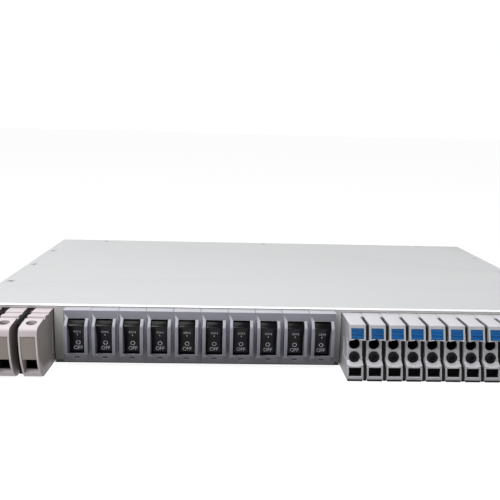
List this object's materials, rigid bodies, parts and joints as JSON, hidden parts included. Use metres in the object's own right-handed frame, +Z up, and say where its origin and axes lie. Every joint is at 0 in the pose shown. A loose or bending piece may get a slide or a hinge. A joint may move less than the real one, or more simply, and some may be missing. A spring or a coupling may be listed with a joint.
{
  "type": "rack-mount dc power distribution unit",
  "caption": "Flat 1U rack-mount power distribution unit with a row of guarded rocker circuit breakers between screw-clamp input and spring-clamp output terminals.",
  "frame": {"origin": "middle of the footprint at the underside of the tray, between the terminals' front and the rear wall", "axes": "+X to the right along the rack width, +Y from the operating face to the rear, +Z up"},
  "size_m": [0.4826, 0.2994, 0.043],
  "materials": {
    "powder_coat": "fine-textured light grey powder coat",
    "panel_coat": "satin grey powder coat",
    "breaker_grey": "moulded thermoset, fine matte grain",
    "rocker_black": "semi-gloss black moulding",
    "input_plastic": "moulded polyamide, warm light grey",
    "output_plastic": "moulded polyamide, light grey",
    "zinc_steel": "zinc plated",
    "copper": "plain rolled copper",
    "brass": "turned brass",
    "wire_red": "extruded insulation",
    "wire_black": "extruded insulation",
    "wire_green": "extruded insulation",
    "marker_blue": "moulded marker tags",
    "insert_black": "black clamp parts, spacers and foot pads",
    "legend_ink": "grey-white printed legends"
  },
  "bodies": {
    "chassis": {"chassis_tray": "powder_coat", "top_cover": "powder_coat", "rack_ear_left": "powder_coat", "rack_ear_right": "powder_coat", "front_panel": "panel_coat", "breaker_case_01": "breaker_grey", "breaker_case_02": "breaker_grey", "breaker_case_03": "breaker_grey", "breaker_case_04": "breaker_grey", "breaker_case_05": "breaker_grey", "breaker_case_06": "breaker_grey", "breaker_case_07": "breaker_grey", "breaker_case_08": "breaker_grey", "breaker_case_09": "breaker_grey", "breaker_case_10": "breaker_grey", "input_rail": "zinc_steel", "output_rail": "zinc_steel", "input_clamp_screw_01": "zinc_steel", "input_clamp_screw_02": "zinc_steel", "input_clamp_screw_03": "zinc_steel", "input_terminal_01": "input_plastic", "input_terminal_02": "input_plastic", "input_terminal_03": "input_plastic", "output_terminal_01": "output_plastic", "output_terminal_02": "output_plastic", "output_terminal_03": "output_plastic", "output_terminal_04": "output_plastic", "output_terminal_05": "output_plastic", "output_terminal_06": "output_plastic", "output_terminal_07": "output_plastic", "output_terminal_08": "output_plastic", "output_terminal_09": "output_plastic", "output_terminal_10": "output_plastic", "output_end_bracket": "output_plastic", "line_busbar": "copper", "output_wire_01": "wire_red", "output_wire_02": "wire_red", "output_wire_03": "wire_red", "output_wire_04": "wire_red", "output_wire_05": "wire_red", "output_wire_06": "wire_red", "output_wire_07": "wire_red", "output_wire_08": "wire_red", "output_wire_09": "wire_red", "output_wire_10": "wire_red", "feed_cable_01": "wire_black", "feed_cable_02": "wire_black", "earth_cable": "wire_green", "earth_stud": "brass"},
    "rocker_01": {"rocker_01": "rocker_black"},
    "rocker_02": {"rocker_02": "rocker_black"},
    "rocker_03": {"rocker_03": "rocker_black"},
    "rocker_04": {"rocker_04": "rocker_black"},
    "rocker_05": {"rocker_05": "rocker_black"},
    "rocker_06": {"rocker_06": "rocker_black"},
    "rocker_07": {"rocker_07": "rocker_black"},
    "rocker_08": {"rocker_08": "rocker_black"},
    "rocker_09": {"rocker_09": "rocker_black"},
    "rocker_10": {"rocker_10": "rocker_black"}
  },
  "joints": [
    {"name": "rocker_01_switch", "type": "hinge", "parent": "chassis", "child": "rocker_01", "pos_m": [-0.14467, -0.11025, 0.02275], "axis": [-1, 0, 0], "range_deg": [0, 32]},
    {"name": "rocker_02_switch", "type": "hinge", "parent": "chassis", "child": "rocker_02", "pos_m": [-0.12562, -0.11025, 0.02275], "axis": [-1, 0, 0], "range_deg": [0, 32]},
    {"name": "rocker_03_switch", "type": "hinge", "parent": "chassis", "child": "rocker_03", "pos_m": [-0.10658, -0.11025, 0.02275], "axis": [-1, 0, 0], "range_deg": [0, 32]},
    {"name": "rocker_04_switch", "type": "hinge", "parent": "chassis", "child": "rocker_04", "pos_m": [-0.08753, -0.11025, 0.02275], "axis": [-1, 0, 0], "range_deg": [0, 32]},
    {"name": "rocker_05_switch", "type": "hinge", "parent": "chassis", "child": "rocker_05", "pos_m": [-0.06847, -0.11025, 0.02275], "axis": [-1, 0, 0], "range_deg": [0, 32]},
    {"name": "rocker_06_switch", "type": "hinge", "parent": "chassis", "child": "rocker_06", "pos_m": [-0.04942, -0.11025, 0.02275], "axis": [-1, 0, 0], "range_deg": [0, 32]},
    {"name": "rocker_07_switch", "type": "hinge", "parent": "chassis", "child": "rocker_07", "pos_m": [-0.03037, -0.11025, 0.02275], "axis": [-1, 0, 0], "range_deg": [0, 32]},
    {"name": "rocker_08_switch", "type": "hinge", "parent": "chassis", "child": "rocker_08", "pos_m": [-0.01132, -0.11025, 0.02275], "axis": [-1, 0, 0], "range_deg": [0, 32]},
    {"name": "rocker_09_switch", "type": "hinge", "parent": "chassis", "child": "rocker_09", "pos_m": [0.00773, -0.11025, 0.02275], "axis": [-1, 0, 0], "range_deg": [0, 32]},
    {"name": "rocker_10_switch", "type": "hinge", "parent": "chassis", "child": "rocker_10", "pos_m": [0.02678, -0.11025, 0.02275], "axis": [-1, 0, 0], "range_deg": [0, 32]}
  ]
}
